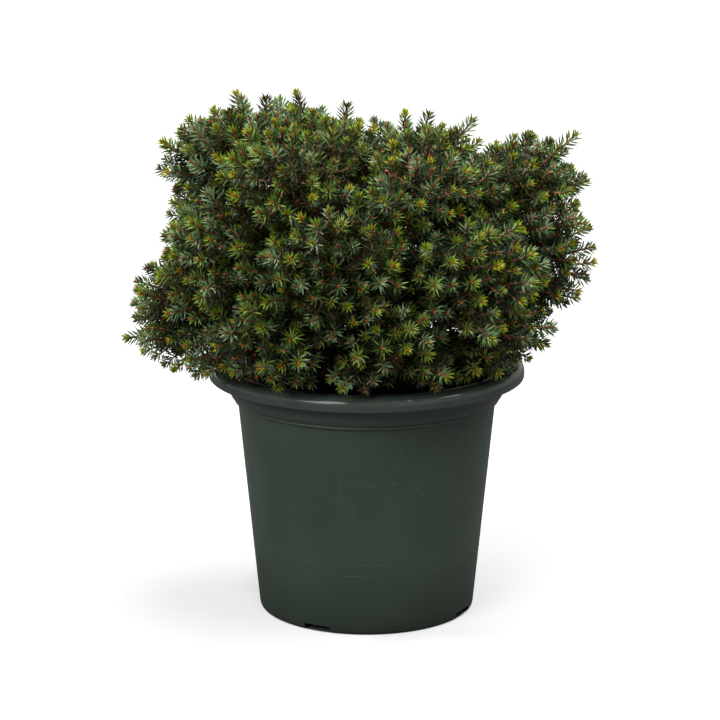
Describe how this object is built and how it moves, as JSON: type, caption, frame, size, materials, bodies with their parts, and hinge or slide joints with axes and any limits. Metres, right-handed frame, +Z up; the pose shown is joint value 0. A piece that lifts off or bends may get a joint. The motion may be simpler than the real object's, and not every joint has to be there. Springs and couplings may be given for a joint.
{
  "type": "potted little gem norway spruce",
  "caption": "Dwarf norway spruce grown as a dense, low, flat-topped bun of short needled shoots, in a round dark green plastic nursery pot with a rolled lip.",
  "frame": {"origin": "centre of the pot's flat underside", "axes": "+Z is up along the pot's axis, and -Y is the front of the plant as the picture shows it, with +X to the viewer's right"},
  "size_m": [0.2875, 0.2561, 0.3141],
  "materials": {
    "pot_plastic": "satin dark green moulded plastic with a glossier lip and fine dust",
    "soil": "moist peat and bark potting mix, crumbly and matte",
    "bark": "scaly brown bark",
    "needles": "stiff blue-green to yellow-green needles with a slight waxy gloss, on orange-brown twigs with red-brown buds"
  },
  "bodies": {
    "root": {"pot": "pot_plastic", "potting_soil": "soil", "trunk": "bark", "bough_low_left": "bark", "mass_low_left": "needles", "bough_low_front_left": "bark", "mass_low_front_left": "needles", "bough_low_front": "bark", "mass_low_front": "needles", "bough_low_front_right": "bark", "mass_low_front_right": "needles", "bough_low_back_right": "bark", "mass_low_back_right": "needles", "bough_low_back": "bark", "mass_low_back": "needles", "bough_low_back_left": "bark", "mass_low_back_left": "needles", "bough_mid_front_left": "bark", "mass_mid_front_left": "needles", "bough_mid_front": "bark", "mass_mid_front": "needles", "bough_mid_front_right": "bark", "mass_mid_front_right": "needles", "bough_mid_right": "bark", "mass_mid_right": "needles", "bough_mid_back_right": "bark", "mass_mid_back_right": "needles", "bough_mid_back": "bark", "mass_mid_back": "needles", "bough_mid_back_left": "bark", "mass_mid_back_left": "needles", "bough_top_left": "bark", "mass_top_left": "needles", "bough_top_front_left": "bark", "mass_top_front_left": "needles", "bough_top_front_right": "bark", "mass_top_front_right": "needles", "bough_top_right": "bark", "mass_top_right": "needles", "bough_top_back_right": "bark", "mass_top_back_right": "needles", "bough_top_back_left": "bark", "mass_top_back_left": "needles", "bough_top_middle_left": "bark", "mass_top_middle_left": "needles", "bough_top_middle_right": "bark", "mass_top_middle_right": "needles"}
  },
  "joints": []
}
